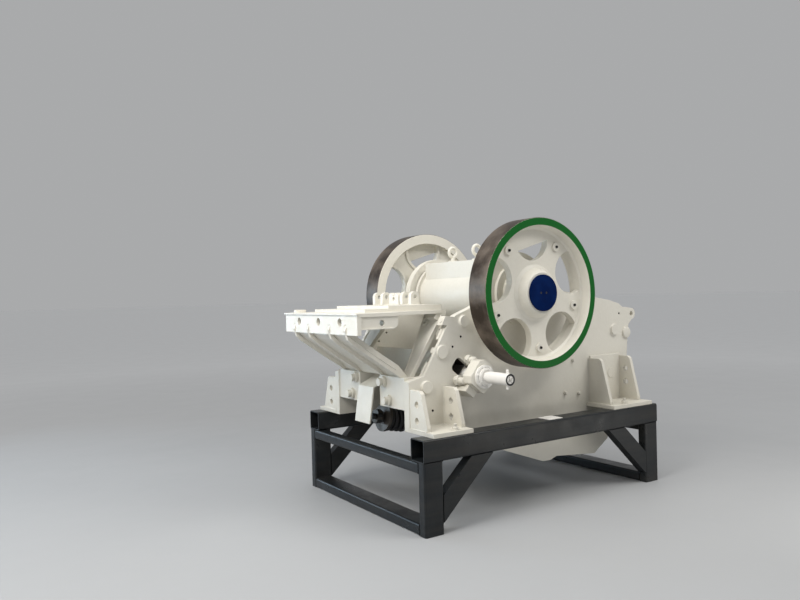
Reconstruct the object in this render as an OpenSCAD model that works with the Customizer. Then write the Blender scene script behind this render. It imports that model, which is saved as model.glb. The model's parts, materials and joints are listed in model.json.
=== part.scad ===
// Jaw crusher on its steel stand.
// The rear, with the motor table, is towards -X and the feed mouth is towards +X.
// The centre plane is y = 0, the right side is -Y and the floor is z = 0.

/* [Stand] */
// Length of the stand along its rails
stand_len = 2327; // [2300:1:2500]
// Width over the outer faces of the two rails
stand_width = 1635; // [1600:1:1700]
// Height of the rails' tops above the floor
stand_height = 624; // [560:1:700]
// Side of the square rail tube
tube = 150; // [130:1:170]
// Wall of the stand's tubes
tube_wall = 8; // [5:0.5:12]
// Corner radius of the stand's tubes
tube_corner = 14; // [13:1:20]
// Depth of a post across the stand
post_depth = 75; // [60:1:90]
// Height of the cross tubes
cross_height = 75; // [60:1:90]
// Width of the upper cross tubes along the stand
cross_width = 80; // [70:1:100]
// Width of a diagonal brace, in its own plane
brace_width = 128; // [100:1:140]
// Angle of a diagonal brace above the floor
brace_angle = 43; // [40:1:47]
// Thickness of the loose shim plate on the right rail
shim_t = 4; // [3:0.5:8]

/* [Frame] */
// Distance from the stand's rear end to the rear edge of the side plates
machine_x = 90; // [60:1:120]
// Width over the outer faces of the side plates
frame_width = 1055; // [1040:1:1070]
// Thickness of a side plate
side_t = 60; // [50:1:66]
// Height of the shaft above the rails
shaft_rise = 925; // [915:1:935]
// Distance of the shaft in front of the side plates' rear edge
shaft_run = 1012; // [1000:1:1025]
// Radius of the side plate's hump round the shaft
hump_r = 315; // [305:1:325]
// Thickness of the feet's plates
foot_plate_t = 28; // [22:1:32]
// Thickness of the feet's gussets
foot_gusset_t = 30; // [24:1:34]
// Radius of the large holes in the gussets
gusset_hole_r = 22; // [16:1:26]

/* [Flywheels] */
// Outer radius of a flywheel
wheel_r = 547; // [520:1:560]
// Width of a flywheel's rim
wheel_width = 183; // [170:1:190]
// Gap between a side plate's outer face and its flywheel
wheel_gap = 88.5; // [86:0.5:100]
// Radial thickness of the rim at its outer face
rim_t = 56; // [45:1:62]
// Radial thickness of the rim at its inner face
rim_back_t = 83; // [70:1:90]
// Thickness of the web
web_t = 44; // [36:1:52]
// Depth of the web below the rim's outer face
web_recess = 84; // [76:1:90]
// Radius of the hub at the web
hub_r = 184; // [170:1:190]
// Radius of the hub at its outer face
hub_face_r = 152; // [146:1:165]
// Number of holes in the web, and of bosses between them
web_holes = 5; // [4:1:6]
// Radius of a hole in the web
web_hole_r = 162; // [140:1:165]
// Distance of the holes' centres from the shaft
web_hole_at = 400; // [395:1:410]
// Angle of the first hole above the horizontal
web_hole_phase = 22; // [0:0.5:71]
// Distance of the counterweight's straight edge from the shaft
weight_at = 338; // [320:1:360]
// Angle of the counterweight above the horizontal
weight_angle = 106.7; // [90:0.1:120]
// Radius of the shaft in the flywheels and the bearing housings
shaft_r = 90; // [80:1:100]
// Radius of the cap on the hub
cap_r = 133; // [125:1:140]

/* [Jaws] */
// Width of the jaw plates
jaw_width = 790; // [760:1:810]
// Thickness of a jaw plate without its teeth
jaw_t = 55; // [48:1:62]
// Height of a jaw plate's teeth
tooth_h = 26; // [20:1:32]
// Number of teeth across a jaw plate
tooth_count = 11; // [9:1:13]
// Opening between the jaws at the top
gape = 520; // [500:1:540]
// Opening between the jaws at the bottom
setting = 95; // [80:1:120]
// Throw of the shaft's eccentric part
throw = 14; // [10:1:16]
// Outer radius of the pitman's barrel
barrel_r = 235; // [228:1:242]
// Thickness of a cheek plate
cheek_t = 46; // [40:1:52]

/* [Adjusting] */
// Angle of the toggle plate below the horizontal
toggle_angle = 38.4; // [37.5:0.1:39.5]
// Thickness of the toggle plate
toggle_t = 44; // [38:1:48]
// Radius of the toggle plate's rounded ends
toggle_end_r = 29; // [27:0.5:32]
// Width of the toggle plate
toggle_width = 620; // [560:1:680]
// Thickness of the wedge pair together
wedge_t = 100; // [94:1:104]
// Height of the wedges
wedge_h = 90; // [84:1:96]
// Radius of an adjusting cylinder
cylinder_r = 41; // [36:1:46]
// Length of an adjusting cylinder's visible tube
cylinder_len = 208; // [180:1:240]

/* [Motor table] */
// Width of the table's rear flange
table_width = 1109; // [1090:1:1130]
// Thickness of the table's plates
table_t = 25; // [20:1:30]
// Reach of the table behind the side plates' rear edge
table_reach = 403; // [390:1:415]
// Height of the table's underside above the rails
table_rise = 795; // [792:1:805]

/* [Hidden] */
$fn = 48;

cream = [0.90, 0.88, 0.83];
charcoal = [0.13, 0.14, 0.15];
dark_steel = [0.28, 0.25, 0.23];
bright_steel = [0.62, 0.62, 0.62];
ring_green = [0.05, 0.42, 0.16];
cap_blue = [0.05, 0.16, 0.50];

seat_gap = 0.3;
run_gap = 0.05;

// Half widths, counted from the centre plane
half_width = stand_width / 2;
rail_in = half_width - tube;
side_out = frame_width / 2;
side_in = side_out - side_t;
wheel_in = side_out + wheel_gap;
wheel_out = wheel_in + wheel_width;

// Reach of the lifting ear at the front, from the side plates' rear edge
ear_x = 2310;
ear_z = 731;
ear_r = 48;
rib_proud = 9;
machine_front = machine_x + ear_x + ear_r;
machine_rear = machine_x - table_reach - rib_proud;
mid_x = (machine_front + machine_rear) / 2;

// Puts a piece drawn from the stand's rear end into the part's own frame
module from_stand_end() {
    translate([-mid_x, 0, 0]) children();
}

// Puts a piece drawn from the side plates' rear edge and the rails' tops into the part's own frame
module on_rails() {
    translate([machine_x - mid_x, 0, stand_height]) children();
}

// Draws its child on the left as well as on the right
module both_sides() {
    children();
    mirror([0, 1, 0]) children();
}

// Extrudes an outline drawn in x and z, from one y to another
module slab(y0, y1) {
    translate([0, y1, 0]) rotate([90, 0, 0]) linear_extrude(y1 - y0) children();
}

// A round bar along y
module bar_y(x, z, y0, y1, r) {
    translate([x, y0, z]) rotate([-90, 0, 0]) cylinder(h = y1 - y0, r = r);
}

module rounded_rect(w, h, r) {
    translate([r, 0]) square([w - 2 * r, h]);
    translate([0, r]) square([w, h - 2 * r]);
    for (x = [r, w - r], y = [r, h - r]) translate([x, y]) circle(r = r);
}

module tube_section(w, h) {
    inner_r = tube_corner - tube_wall;
    difference() {
        rounded_rect(w, h, tube_corner);
        translate([tube_wall, tube_wall])
            rounded_rect(w - 2 * tube_wall, h - 2 * tube_wall, max(inner_r, 2));
    }
}

// The stand
rail_z = stand_height - tube;

module stand_rail_right() {
    color(charcoal) from_stand_end()
        translate([0, -half_width, rail_z]) rotate([90, 0, 90])
            linear_extrude(stand_len) tube_section(tube, tube);
}

module stand_rail_left() {
    mirror([0, 1, 0]) stand_rail_right();
}

module stand_posts() {
    color(charcoal) from_stand_end() both_sides()
        for (x = [0, stand_len - tube])
            translate([x, -half_width, 0]) linear_extrude(rail_z) tube_section(tube, post_depth);
}

module cross_tube(x, z, w) {
    span = stand_width - 2 * post_depth;
    translate([x, -span / 2, z + cross_height]) rotate([-90, 0, 0])
        linear_extrude(span) tube_section(w, cross_height);
}

module stand_cross_tubes() {
    color(charcoal) from_stand_end() {
        for (x = [0, stand_len - tube]) cross_tube(x, 0, tube);
        cross_tube(0, rail_z - cross_height, cross_width);
        cross_tube(stand_len - cross_width, rail_z - cross_height, cross_width);
    }
}

// A diagonal brace's outline, from the inner face of the rear post to the rail's underside
module brace_outline() {
    foot_z = cross_height;
    rise = rail_z - foot_z;
    top_z = foot_z + brace_width / cos(brace_angle);
    polygon([
        [tube, foot_z],
        [tube + rise / tan(brace_angle), rail_z],
        [tube + (rail_z - top_z) / tan(brace_angle), rail_z],
        [tube, top_z]
    ]);
}

module stand_braces() {
    color(charcoal) from_stand_end() both_sides() slab(-half_width, -half_width + post_depth) {
        brace_outline();
        translate([stand_len, 0]) mirror([1, 0]) brace_outline();
    }
}

module rail_shim() {
    color("white") from_stand_end()
        translate([1130, -half_width + 18, stand_height]) cube([135, 120, shim_t]);
}

// The side plates
shaft = [shaft_run, shaft_rise];

// The slot that the wedges pass through, and the line along which the toggle plate pushes
wedge_at = [514, 352];
push = [cos(toggle_angle), -sin(toggle_angle)];
across = [sin(toggle_angle), cos(toggle_angle)];
function on_push(s, n) = wedge_at + s * push + n * across;
slot_len = wedge_t + 130;
slot_w = wedge_h + 16;
slot_back = 40;
slot_corner = 30;

module slot_outline() {
    translate(wedge_at) rotate(-toggle_angle) translate([-slot_back - slot_len / 2, -slot_w / 2])
        rounded_rect(slot_len, slot_w, slot_corner);
}

// The side plate's sloping rear edge, with grooves along its middle and notches in its inner half
edge_low = [130, 370];
edge_top = [337, 712];
edge_along = (edge_top - edge_low) / norm(edge_top - edge_low);
edge_inwards = [edge_along[1], -edge_along[0]];
groove_w = 6;
groove_depth = 14;
notch_depth = 30;
notch_r = 38;
function on_edge(share) = edge_low + share * (edge_top - edge_low);

module edge_strip(from, to, depth) {
    polygon([
        on_edge(from) - edge_inwards, on_edge(from) + depth * edge_inwards,
        on_edge(to) + depth * edge_inwards, on_edge(to) - edge_inwards
    ]);
}

// Side plate outline: rear toe, belly under the rails, front edge, lifting ear and top edge
side_points = [
    [0, 0], [300, 0], [858, -244], [1234, -376], [1310, -378], [1380, -356], [1810, -396],
    [1970, -294], [2090, -150], [2200, 0], [2236, 0], [2236, 342], [2243, 433], [2254, 525],
    [2265, 616], [2272, 640], [2330, 700], [ear_x, ear_z + ear_r], [2234, 789], [2196, 792],
    [2149, 822], [2030, 853], [1914, 871], [1326, 962], [700, 888], [542, 826], [432, 786],
    [400, 770], [326, 780], [291, 716], edge_top, edge_low, [0, 340]
];
edge_boss = [2231, 575];
edge_boss_r = 48;
ear_hole_r = 20;
housing_r = 165;
cable_hole_r = 9;
side_holes = [[382, 560], [457, 628], [196, 128], [2153, 737], [2042, 133]];

module side_outline() {
    difference() {
        union() {
            polygon(side_points);
            translate(shaft) circle(r = hump_r);
            translate([ear_x, ear_z]) circle(r = ear_r);
            translate(edge_boss) circle(r = edge_boss_r);
        }
        translate(shaft) circle(r = housing_r + seat_gap);
        translate([ear_x, ear_z]) circle(r = ear_hole_r);
        for (p = side_holes) translate(p) circle(r = cable_hole_r);
        slot_outline();
    }
}

module side_plate_right() {
    middle = -side_out + side_t / 2;
    color(cream) on_rails() difference() {
        slab(-side_out, -side_in) side_outline();
        slab(middle - groove_w / 2, middle + groove_w / 2) {
            edge_strip(0.05, 0.42, groove_depth);
            edge_strip(0.62, 0.97, groove_depth);
        }
        slab(middle, -side_in + 1) {
            edge_strip(0.56, 0.72, notch_depth);
            translate(on_edge(0.36)) circle(r = notch_r);
        }
    }
}

module side_plate_left() {
    mirror([0, 1, 0]) side_plate_right();
}

// Round bosses on the outer faces of the side plates: [x, z, radius, height]
side_boss_list = [
    [288, 529, 46, 14], [483, 738, 40, 22], [142, 295, 42, 24], [2081, 605, 44, 18],
    [2020, 250, 42, 16], [1580, 380, 15, 14], [1487, 128, 15, 14], [1638, 113, 15, 14]
];

module side_bosses() {
    color(cream) on_rails() both_sides()
        for (b = side_boss_list) bar_y(b[0], b[1], -side_out - b[3], -side_out, b[2]);
}

// The feet
foot_out = half_width - 10;

// A foot's gusset in y and z: height above its plate, reach at the top and at the bottom
module foot_gusset(x, top_z, top_y, low_y, holes) {
    translate([x, 0, 0]) rotate([90, 0, 90]) linear_extrude(foot_gusset_t) difference() {
        polygon([
            [-side_out, foot_plate_t], [-low_y, foot_plate_t], [-low_y, foot_plate_t + 24],
            [-top_y, top_z - 18], [-top_y + 22, top_z], [-side_out, top_z]
        ]);
        for (z = holes) translate([-(side_out + top_y + 30) / 2, z]) circle(r = gusset_hole_r);
    }
}

rear_foot_x = [0, 327];
front_foot_x = [1735, 2190];

module foot_plate(x) {
    translate([x[0], -foot_out, 0]) cube([x[1] - x[0], foot_out - side_out, foot_plate_t]);
}

module foot_rear_right() {
    color(cream) on_rails() {
        foot_plate(rear_foot_x);
        foot_gusset(rear_foot_x[0] + 4, 290, 664, 728, [88, 197]);
        foot_gusset(rear_foot_x[1] - 36, 290, 664, 728, [88, 197]);
    }
}

module foot_rear_left() {
    mirror([0, 1, 0]) foot_rear_right();
}

module foot_front_right() {
    color(cream) on_rails() {
        foot_plate(front_foot_x);
        foot_gusset(front_foot_x[0] + 25, 386, 664, 748, []);
        foot_gusset(front_foot_x[1] - 65, 386, 646, 722, [172, 284]);
    }
}

module foot_front_left() {
    mirror([0, 1, 0]) foot_front_right();
}

// The chamber: both jaw faces in x and z, from their top to their bottom
jaw_top_z = 800;
jaw_low_z = -224;
moving_top_x = shaft_run + 338;
moving_low_x = shaft_run + 496;
fixed_top_x = moving_top_x + gape;
fixed_low_x = moving_low_x + setting;
moving_lean = atan((moving_low_x - moving_top_x) / (jaw_top_z - jaw_low_z));
fixed_lean = atan((fixed_top_x - fixed_low_x) / (jaw_top_z - jaw_low_z));
jaw_len = jaw_top_z - jaw_low_z;
jaw_back = jaw_t + tooth_h;

// A jaw plate seen from above: back at x = 0, ridged face towards -x
module jaw_section() {
    pitch = jaw_width / tooth_count;
    ridge = [for (i = [0:tooth_count - 1], p = [[0, 0.12], [1, 0.36], [1, 0.64], [0, 0.88]])
        [-jaw_t - tooth_h * p[0], -jaw_width / 2 + pitch * (i + p[1])]];
    polygon(concat([[0, jaw_width / 2], [0, -jaw_width / 2], [-jaw_t, -jaw_width / 2]],
        ridge, [[-jaw_t, jaw_width / 2]]));
}

module fixed_jaw() {
    color(dark_steel) on_rails() translate([fixed_low_x + jaw_back / cos(fixed_lean), 0, jaw_low_z])
        rotate([0, fixed_lean, 0]) linear_extrude(jaw_len / cos(fixed_lean)) jaw_section();
}

module moving_jaw() {
    color(dark_steel) on_rails() translate([moving_low_x - jaw_back / cos(moving_lean), 0, jaw_low_z])
        rotate([0, -moving_lean, 0]) linear_extrude(jaw_len / cos(moving_lean))
            mirror([1, 0]) jaw_section();
}

// Cheek plates line the side plates between the jaws
module cheek_outline() {
    polygon([
        [moving_low_x + 14, jaw_low_z + 20], [fixed_low_x - 10, jaw_low_z + 20],
        [fixed_top_x - 6, jaw_top_z - 10], [moving_top_x + 14, jaw_top_z - 10]
    ]);
}

module cheek_plate_right() {
    color(dark_steel) on_rails() slab(-side_in, -side_in + cheek_t) cheek_outline();
}

module cheek_plate_left() {
    mirror([0, 1, 0]) cheek_plate_right();
}

// The front wall: a ribbed casting behind the fixed jaw
wall_reach = 356;

module front_wall() {
    back = jaw_back / cos(fixed_lean);
    wall_t = 62;
    front_x = fixed_top_x + wall_reach;
    slope = (fixed_top_x - fixed_low_x) / jaw_len;
    pocket_rows = 4;
    pocket_h = 190;
    row_pitch = 228;
    pocket_w = 262;
    color(cream) on_rails() difference() {
        slab(-side_in, side_in) polygon([
            [fixed_low_x + back, jaw_low_z], [fixed_low_x + back - 26, jaw_low_z],
            [fixed_low_x + back - 26, jaw_low_z - 60], [front_x - 436, jaw_low_z - 60], [front_x, 130],
            [front_x, 700], [front_x - 76, 770], [fixed_top_x + back, jaw_top_z]
        ]);
        for (k = [0:pocket_rows - 1], y = [-1, 0, 1]) {
            z = -90 + row_pitch * k;
            back_x = fixed_low_x + back + wall_t + slope * (z + pocket_h - jaw_low_z);
            translate([back_x, y * (pocket_w + 40) - pocket_w / 2, z])
                cube([front_x - back_x + 100, pocket_w, pocket_h]);
        }
    }
}

// The rear beam carries the wedges, the table legs and the ribs; a notch in its middle clears the rod
beam_rear = 8;
beam_front = 262;
beam_low_z = 140;
beam_top_z = 362;
notch_half = 140;
notch_front = 200;
spring_bay = 125;
spring_wall = 30;
spring_wall_x = 330;
spring_wall_top = 310;
spring_wall_low = -80;
slot_pocket = 70;

module rear_beam() {
    low = on_push(-wedge_t / 2, -60);
    high = on_push(-wedge_t / 2, 60);
    color(cream) on_rails() difference() {
        union() {
            slab(-side_in, side_in) polygon([
                [beam_rear, beam_low_z], [beam_rear, beam_top_z], [300, beam_top_z], [372, 520],
                high, low, [spring_wall_x + spring_wall, 300], [beam_front, 200], [beam_front, beam_low_z]
            ]);
            translate([spring_wall_x, -spring_bay, spring_wall_low])
                cube([spring_wall, 2 * spring_bay, spring_wall_top - spring_wall_low]);
        }
        translate([beam_rear - 1, -notch_half, beam_low_z - 1])
            cube([notch_front - beam_rear + 1, 2 * notch_half, beam_top_z]);
        along_rod(-10) cylinder(h = 400, r = rod_r + 4);
        both_sides() slab(-side_in - 1, -side_in + slot_pocket) slot_outline();
    }
}

// Stepped bosses on the rear beam's rear face: [y, z]
rear_boss_list = [[262, 190], [200, 318]];

module rear_bosses() {
    color(cream) on_rails() both_sides() for (b = rear_boss_list)
        translate([beam_rear, -b[0], b[1]]) rotate([0, -90, 0]) {
            cylinder(h = 22, r = 40);
            cylinder(h = 52, r = 28);
        }
}

// The frame bearings' housings in the side plates
housing_out = wheel_in - 13;
flange_r = 232;
flange_t = 30;

module bearing_housing_right() {
    color(cream) on_rails() difference() {
        union() {
            bar_y(shaft[0], shaft[1], -side_out, -side_in, housing_r);
            bar_y(shaft[0], shaft[1], -side_out - flange_t, -side_out, flange_r);
            bar_y(shaft[0], shaft[1], -housing_out, -side_out, housing_r + 12);
        }
        bar_y(shaft[0], shaft[1], -housing_out - 1, -side_in + 1, shaft_r + run_gap);
    }
}

module bearing_housing_left() {
    mirror([0, 1, 0]) bearing_housing_right();
}

// The pitman: barrel, pad bar, front plate and toggle seat
barrel_out = side_in - 12;
cover_t = 30;
cover_r = barrel_r + 26;
eccentric_r = 118;
eccentric_out = barrel_out - cover_t - 6;
pitman_half = 395;
pad_bar_x = -191;
pad_bar_z = 134;
pad_bar_w = 219;
pad_bar_h = 137;
seat_x = shaft_run + 39;
toggle_run = [125, (seat_x - wedge_at[0]) / cos(toggle_angle)];
toggle_end = on_push(toggle_run[1], 0);

module pitman_outline() {
    back = jaw_back / cos(moving_lean);
    seat_low = on_push(toggle_run[1] + 6, -70);
    seat_high = on_push(toggle_run[1] + 6, 70);
    polygon([
        seat_low, [seat_x + 69, -196], [moving_low_x - back - 40, jaw_low_z - 44],
        [moving_low_x - back, jaw_low_z - 44], [moving_low_x - back, jaw_low_z],
        [moving_top_x - back, jaw_top_z], [moving_top_x - back - 8, jaw_top_z + 60],
        [shaft_run + 138, 1110], [shaft_run - 162, 780], [shaft_run - 52, 420], seat_high
    ]);
}

module pitman() {
    color(cream) on_rails() difference() {
        union() {
            slab(-pitman_half, pitman_half) pitman_outline();
            bar_y(shaft[0], shaft[1], -barrel_out + cover_t, barrel_out - cover_t, barrel_r);
            both_sides() bar_y(shaft[0], shaft[1], -barrel_out, -barrel_out + cover_t, cover_r);
            translate([shaft_run + pad_bar_x, -pitman_half - 1, shaft_rise + pad_bar_z])
                cube([pad_bar_w, 2 * pitman_half + 2, pad_bar_h]);
        }
        bar_y(shaft[0], shaft[1], -eccentric_out - 6, eccentric_out + 6, eccentric_r + throw + 6);
        bar_y(shaft[0], shaft[1], -barrel_out - 1, barrel_out + 1, shaft_r + 12 + run_gap);
        bar_y(toggle_end[0], toggle_end[1], -pitman_half - 1, pitman_half + 1, toggle_end_r + seat_gap);
        along_rod(0) cylinder(h = rod_len + 1, r = rod_r + seat_gap);
        for (y = [-1, 1]) slab(y * 200 - 131, y * 200 + 131)
            polygon([
                [shaft_run - 312, 640], [shaft_run + 128, 640], [moving_low_x - 192, -20],
                [seat_x + 49, 90], [shaft_run - 312, 90]
            ]);
    }
}

// Lifting eye bolts on the pad bar
eye_z = shaft_rise + pad_bar_z + pad_bar_h;

module lifting_eyes() {
    color(cream) on_rails() both_sides() translate([shaft_run + pad_bar_x + pad_bar_w / 2, -155, eye_z]) {
        cylinder(h = 14, r = 38);
        cylinder(h = 46, r = 17);
        translate([0, 0, 82]) rotate([90, 0, 0])
            rotate_extrude() translate([38, 0]) circle(r = 13);
    }
}

// The toggle plate, its seat and the wedges
toggle_start = on_push(toggle_run[0], 0);

module toggle_plate() {
    half = toggle_width / 2;
    color(dark_steel) on_rails() difference() {
        slab(-half, half) {
            translate(toggle_start) circle(r = toggle_end_r);
            translate(toggle_end) circle(r = toggle_end_r);
            translate(toggle_start) rotate(-toggle_angle) translate([0, -toggle_t / 2])
                square([toggle_run[1] - toggle_run[0], toggle_t]);
        }
        for (y = [-190, 0, 190], s = [0.32, 0.68]) {
            p = on_push(toggle_run[0] + s * (toggle_run[1] - toggle_run[0]), 0);
            translate([p[0], y, p[1]]) rotate([0, toggle_angle, 0])
                cylinder(h = 2 * toggle_t, r = 55, center = true);
        }
    }
}

module toggle_seat() {
    color(cream) on_rails() difference() {
        translate([wedge_at[0], 0, wedge_at[1]]) rotate([0, toggle_angle, 0])
            translate([wedge_t / 2, -side_in + 6, -58]) cube([78, 2 * side_in - 12, 116]);
        bar_y(toggle_start[0], toggle_start[1], -side_in - 1, side_in + 1, toggle_end_r + seat_gap);
        translate([wedge_at[0], 0, wedge_at[1]]) rotate([0, toggle_angle, 0])
            translate([toggle_run[0] - 6, -side_in, -toggle_end_r - 6])
                cube([100, 2 * side_in, 2 * toggle_end_r + 12]);
    }
}

// A wedge tapers along y; the two slide on each other
wedge_reach = side_out - 19.5;
wedge_inner = wedge_reach - 78;
wedge_slip = 25;

module wedge_bar() {
    slope = 2 * wedge_slip / (2 * wedge_reach);
    translate([wedge_at[0], 0, wedge_at[1]]) rotate([0, toggle_angle, 0])
        translate([0, 0, -wedge_h / 2]) linear_extrude(wedge_h) polygon([
            [-wedge_t / 2, -wedge_reach], [wedge_slip - seat_gap / 2, -wedge_reach],
            [wedge_slip - seat_gap / 2 - slope * (wedge_reach + wedge_inner), wedge_inner],
            [-wedge_t / 2, wedge_inner]
        ]);
}

module wedge_right() {
    color(bright_steel) on_rails() wedge_bar();
}

module wedge_left() {
    color(bright_steel) on_rails() translate([wedge_at[0], 0, wedge_at[1]]) rotate([0, toggle_angle, 0])
        rotate([0, 0, 180]) rotate([0, -toggle_angle, 0]) translate([-wedge_at[0], 0, -wedge_at[1]])
            wedge_bar();
}

// The adjusting brackets: a thick yoke on four studs round the slot, and a shelf below it
yoke_in = side_out + 82.5;
yoke_out = yoke_in + 95;
yoke_points = [
    [-95, -62], [-60, -98], [66, -98], [82, -50], [72, 46], [20, 100], [-62, 100], [-95, 66]
];
stud_list = [[-64, 86], [40, 82], [-62, -88], [52, -84]];
stud_r = 26;
ram_r = 46;

// Places its child on the wedges' line: x along the push, y across it, z outwards from the side plate
module on_wedge(y) {
    translate([wedge_at[0], -y, wedge_at[1]]) rotate([0, toggle_angle, 0]) rotate([90, 0, 0]) children();
}

module adjuster_bracket_right() {
    color(cream) on_rails() {
        on_wedge(yoke_in) linear_extrude(yoke_out - yoke_in) difference() {
            polygon(yoke_points);
            circle(r = ram_r + seat_gap);
        }
        for (p = stud_list) on_wedge(side_out) translate([p[0], p[1], 0]) {
            cylinder(h = yoke_in - side_out + 1, r = stud_r);
            cylinder(h = 14, r = stud_r + 8);
        }
        on_wedge(side_out) translate([-34, -150, 0]) cube([84, 54, 122]);
    }
}

module adjuster_bracket_left() {
    mirror([0, 1, 0]) adjuster_bracket_right();
}

// The adjusting cylinder: flange, collar, neck, tube, end cap and two nipples
cylinder_flange_t = 16;
cylinder_collar_t = 30;
cylinder_neck_t = 62;

module adjusting_cylinder_right() {
    tube_at = yoke_out + cylinder_neck_t;
    end_at = tube_at + cylinder_len;
    color("white") on_rails() {
        bar_y(wedge_at[0], wedge_at[1], -yoke_out, -wedge_reach - seat_gap, ram_r);
        bar_y(wedge_at[0], wedge_at[1], -yoke_out - cylinder_flange_t, -yoke_out, 2 * cylinder_r);
        bar_y(wedge_at[0], wedge_at[1], -yoke_out - cylinder_collar_t, -yoke_out, 1.5 * cylinder_r);
        bar_y(wedge_at[0], wedge_at[1], -tube_at, -yoke_out, 0.8 * cylinder_r);
        difference() {
            bar_y(wedge_at[0], wedge_at[1], -end_at, -tube_at, cylinder_r);
            bar_y(wedge_at[0], wedge_at[1], -end_at - 1, -end_at + 4, cylinder_r - 7);
        }
        bar_y(wedge_at[0], wedge_at[1], -end_at, -end_at + 8, cylinder_r - 14);
        translate([wedge_at[0], -end_at + 26, wedge_at[1] - cylinder_r - 18])
            cylinder(h = 2 * cylinder_r + 36, r = 8);
    }
}

module adjusting_cylinder_left() {
    mirror([0, 1, 0]) adjusting_cylinder_right();
}

// The tension rod pulls the pitman's foot back against the toggle plate
rod_r = 20;
rod_head = [seat_x + 39, toggle_end[1] - 76];
rod_tail = [20, 45];
rod_len = norm(rod_head - rod_tail);
rod_tilt = atan2(rod_tail[1] - rod_head[1], rod_head[0] - rod_tail[0]);

// Places its child along the rod, a distance s from the rod's rear end
module along_rod(s) {
    translate([rod_tail[0], 0, rod_tail[1]]) rotate([0, 90 + rod_tilt, 0]) translate([0, 0, s]) children();
}

rod_nut_at = 26;
rod_nut_t = 44;
rod_nut_r = 50;
rod_washer_at = 92;
rod_washer_t = 22;
spring_r = 102;
spring_start = rod_washer_at + rod_washer_t;
spring_len = (spring_wall_x - rod_tail[0] - spring_r * sin(rod_tilt)) / cos(rod_tilt) - spring_start;

module tension_rod() {
    color(dark_steel) on_rails() {
        along_rod(0) cylinder(h = rod_len, r = rod_r);
        along_rod(rod_nut_at) cylinder(h = rod_nut_t, r = rod_nut_r);
        along_rod(rod_washer_at) cylinder(h = rod_washer_t, r = spring_r + 6);
    }
}

module tension_spring() {
    color(charcoal) on_rails() along_rod(spring_start) difference() {
        cylinder(h = spring_len, r = spring_r);
        translate([0, 0, -1]) cylinder(h = spring_len + 2, r = rod_r + seat_gap);
    }
}

// A bent strap on the beam's top guards the rod's rear end
guard_t = 12;
guard_half = 105;

module rod_guard() {
    color(cream) on_rails() slab(-guard_half, guard_half) polygon([
        [250, beam_top_z], [250, beam_top_z + guard_t], [notch_front - 2, beam_top_z + guard_t],
        [-26, 270], [-66, 8], [-54, 8], [-15, 264], [notch_front, beam_top_z]
    ]);
}

// The motor table
table_half = table_width / 2;
table_front = 404;
table_gap = 37;
table_neck = side_in - table_gap;
flange_drop = 119;
flange_hole_r = 28;
flange_hole_z = table_rise - 36;
flange_hole_y = 315;
rib_t = 25;
rib_y = [163, 395];
rib_slot_z = 742;
rib_notch_h = rib_slot_z - table_rise + flange_drop;
leg_run = (table_rise - beam_top_z) * 0.676;
leg_foot = 75;
leg_w = 36;
leg_span = 205;
leg_foot_span = 80;

rear_flange_t = table_t + 5;
lip = rib_proud;
skirt_len = 290;
skirt_h = 84;
skirt_corner = 40;
skirt_hole = [-210, 752];
pad_low = 22;
pad_high = 42;
pad_half = side_in - 90;
pad_step = -50;

module skirt_outline() {
    x0 = -table_reach + rear_flange_t;
    translate([x0, table_rise - skirt_h]) difference() {
        square([skirt_len, skirt_h]);
        translate([skirt_len - skirt_corner, 0]) difference() {
            translate([0, -1]) square([skirt_corner + 1, skirt_corner + 1]);
            translate([0, skirt_corner]) circle(r = skirt_corner);
        }
    }
}

module motor_table() {
    color(cream) on_rails() {
        translate([0, 0, table_rise]) linear_extrude(table_t) polygon([
            [-table_reach, -table_half], [-83, -table_half], [-60, -table_neck], [table_front, -table_neck],
            [table_front, table_neck], [-60, table_neck], [-83, table_half], [-table_reach, table_half]
        ]);
        translate([pad_step - 190, -pad_half, table_rise + table_t]) cube([191, 2 * pad_half, pad_low]);
        translate([pad_step, -pad_half, table_rise + table_t])
            cube([table_front - pad_step, 2 * pad_half, pad_high]);
        translate([-table_reach + 22, table_half - 150, table_rise + table_t])
            linear_extrude(pad_low) rounded_rect(90, 70, 30);
        difference() {
            translate([-table_reach, -table_half, table_rise - flange_drop])
                cube([rear_flange_t, table_width, flange_drop]);
            for (s = [-1, 1], y = rib_y)
                translate([-table_reach - 1, s * y - rib_t / 2 - seat_gap, table_rise - flange_drop - 1])
                    cube([rear_flange_t + 2, rib_t + 2 * seat_gap, rib_notch_h + 1]);
            for (y = [-flange_hole_y, 0, flange_hole_y])
                translate([-table_reach - 1, y, flange_hole_z]) rotate([0, 90, 0])
                    cylinder(h = 40, r = flange_hole_r);
        }
        translate([-table_reach - lip, -table_half - lip, table_rise + table_t - 12])
            cube([lip + 4, table_width + 2 * lip, 12]);
        both_sides() {
            difference() {
                slab(-table_half + lip, -table_half + lip + 16) skirt_outline();
                bar_y(skirt_hole[0], skirt_hole[1], -table_half - 1, -table_half + 60, 20);
            }
            slab(-table_half, -table_half + lip + 1) intersection() {
                skirt_outline();
                translate([-table_reach + rear_flange_t, table_rise - skirt_h])
                    square([skirt_len - skirt_corner, lip]);
            }
        }
    }
}

// Rear edge of a rib in x and z, from the table's flange down to the beam
rib_edge = [[-353, 606], [-276, 554], [-149, 469], [-36, 397]];
rib_lean = 33.7;
rib_depth = 62;
apron_recess = 30;
apron_t = 20;

// The rib edge moved inwards by a distance
function rib_inset(d) = [for (p = rib_edge) p + d * [sin(rib_lean), cos(rib_lean)]];
function reversed(list) = [for (i = [len(list) - 1:-1:0]) list[i]];

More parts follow.
